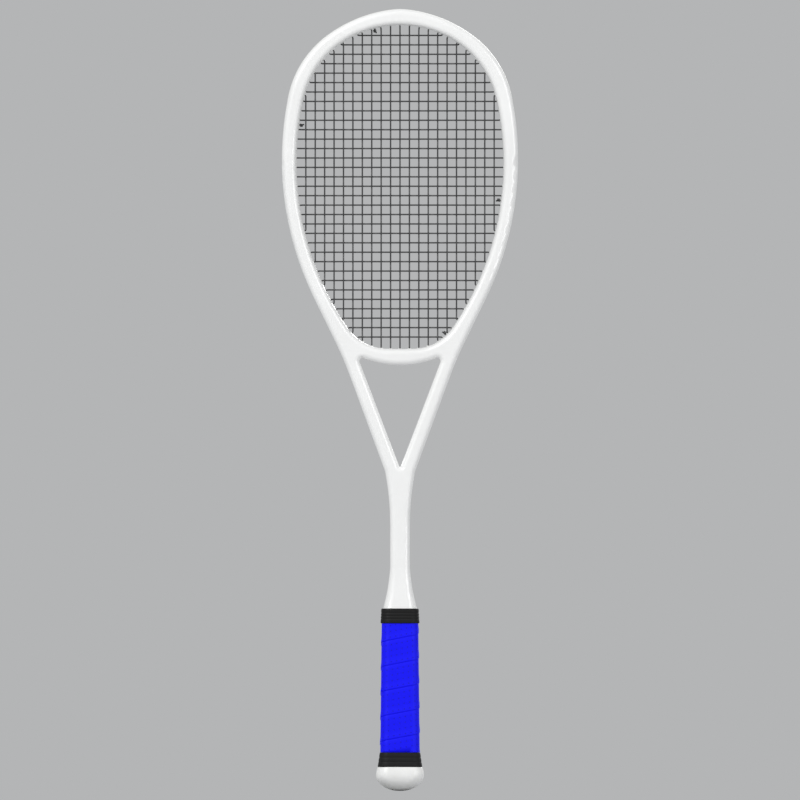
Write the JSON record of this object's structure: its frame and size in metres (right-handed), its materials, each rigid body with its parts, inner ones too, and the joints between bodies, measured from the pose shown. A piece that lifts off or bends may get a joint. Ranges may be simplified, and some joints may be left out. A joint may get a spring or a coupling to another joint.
{
  "type": "squash racket",
  "caption": "Strung squash racket with a teardrop head, an open throat under a curved bridge, a slim shaft, a wrapped handle with rubber collar and a domed butt cap.",
  "frame": {"origin": "lowest point of the butt cap, on the racket's centre line", "axes": "+Z along the shaft from the butt cap to the head, +X across the face, +Y square to the strings"},
  "size_m": [0.2074, 0.0358, 0.686],
  "materials": {
    "painted_carbon": "white gloss lacquer over laid-up carbon fibre",
    "moulded_nylon": "white injection-moulded nylon, satin",
    "string_nylon": "dark grey coated multifilament nylon",
    "foam_core": "cream rigid polyurethane foam",
    "cap_plastic": "white injection-moulded cap, semi-gloss",
    "cushion_wrap": "blue perforated polyurethane cushion wrap, satin and slightly tacky",
    "black_rubber": "black moulded rubber, matte",
    "cloth_tape": "black adhesive cloth tape",
    "staple_steel": "zinc-plated steel wire"
  },
  "bodies": {
    "root": {"frame": "painted_carbon", "throat_bridge": "painted_carbon", "bumper_guard": "moulded_nylon", "grommet_strip_left": "moulded_nylon", "grommet_strip_right": "moulded_nylon", "bridge_grommet_strip": "moulded_nylon", "main_string": "string_nylon", "cross_string": "string_nylon", "shaft_end_plugs": "foam_core", "pallet_front": "foam_core", "pallet_back": "foam_core", "butt_cap": "cap_plastic", "butt_cap_staples": "staple_steel", "butt_ring": "black_rubber", "grip_wrap": "cushion_wrap", "grip_start_staple": "staple_steel", "finishing_tape": "cloth_tape", "grip_collar": "black_rubber"}
  },
  "joints": []
}
